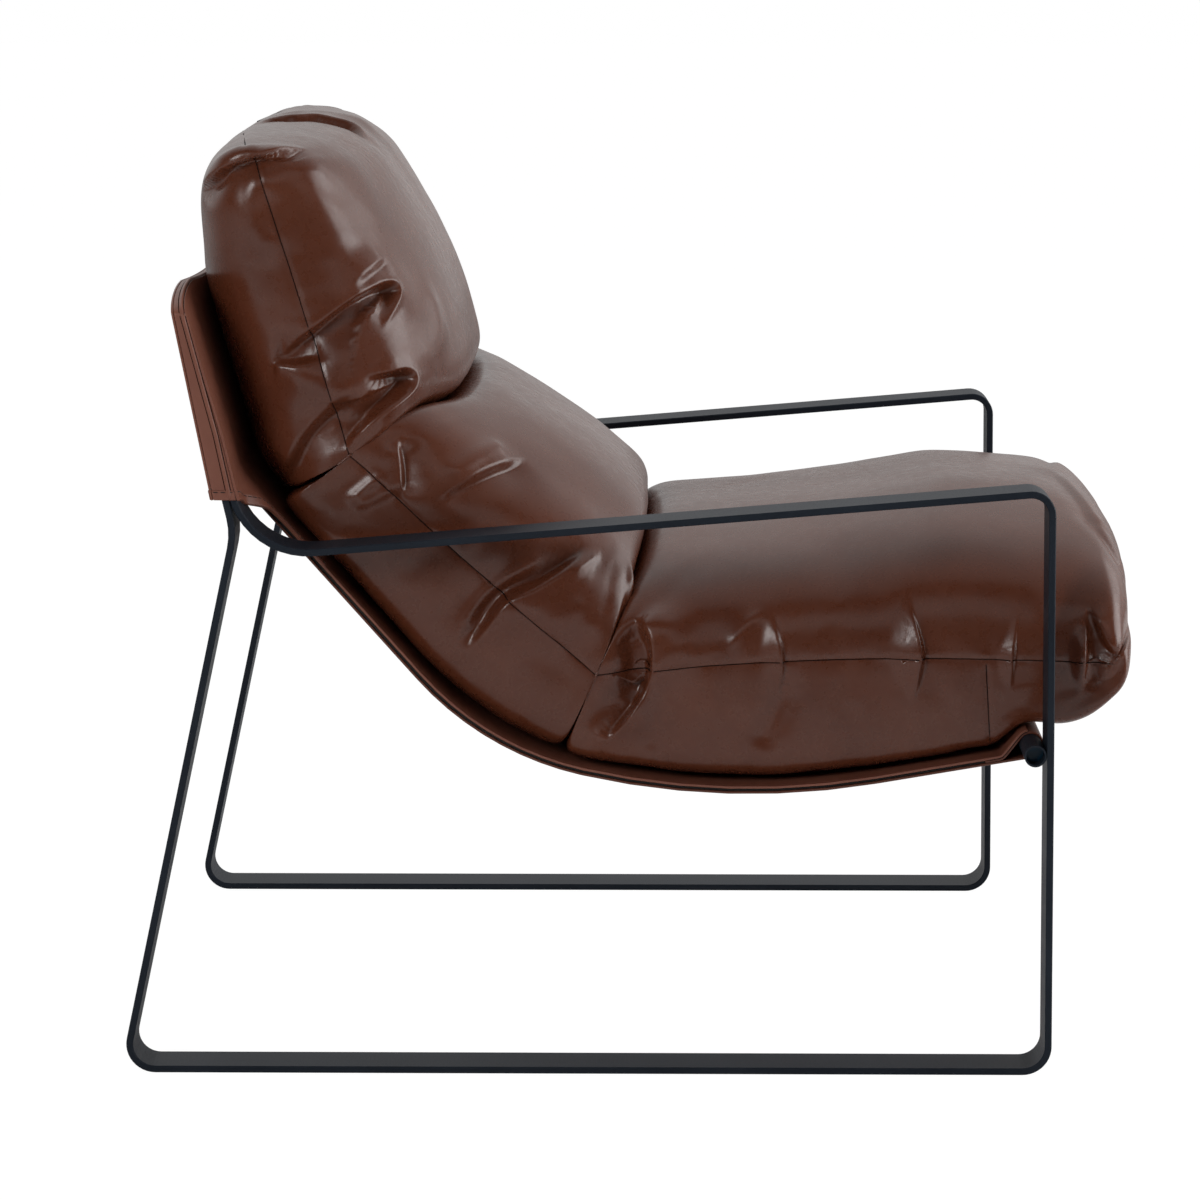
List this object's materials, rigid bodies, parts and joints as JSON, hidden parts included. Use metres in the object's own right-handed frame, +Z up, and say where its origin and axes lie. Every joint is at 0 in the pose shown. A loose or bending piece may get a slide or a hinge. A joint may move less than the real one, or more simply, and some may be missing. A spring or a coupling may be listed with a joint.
{
  "type": "leather sling lounge chair",
  "caption": "Low lounge chair with bent flat-bar sled frames, a leather sling sleeved over the back and wrapped round a front tube, and a puffy leather pad lying in the sling.",
  "frame": {"origin": "middle of the chair's bounding box, on the floor under the runners", "axes": "+X is the way the sitter faces, +Y the sitter's left, +Z up"},
  "size_m": [0.8768, 0.6946, 0.8055],
  "materials": {
    "powder_coat": "satin black powder coat",
    "insert_plastic": "smooth black nylon",
    "sling_leather": "smooth dark brown, satin",
    "carrier_cloth": "plain woven",
    "pad_leather": "smooth dark brown, glossy",
    "pad_fill": "soft wadding",
    "zip_tape": "woven tape"
  },
  "bodies": {
    "root": {"side_frame_left": "powder_coat", "side_frame_right": "powder_coat", "back_top_rail": "powder_coat", "front_stretcher": "powder_coat", "stretcher_insert_left": "insert_plastic", "stretcher_insert_right": "insert_plastic", "stretcher_screw_left": "powder_coat", "stretcher_screw_right": "powder_coat", "sling_inner_panel": "sling_leather", "sling_carrier": "carrier_cloth", "sling_outer_panel": "sling_leather", "sleeve_rear_panel": "sling_leather", "sleeve_boxing_strip": "sling_leather", "head_cushion_cover": "pad_leather", "head_cushion_fill": "pad_fill", "head_cushion_zip": "zip_tape", "lumbar_cushion_cover": "pad_leather", "lumbar_cushion_fill": "pad_fill", "lumbar_cushion_zip": "zip_tape", "seat_cushion_cover": "pad_leather", "seat_cushion_fill": "pad_fill", "seat_cushion_zip": "zip_tape"}
  },
  "joints": []
}
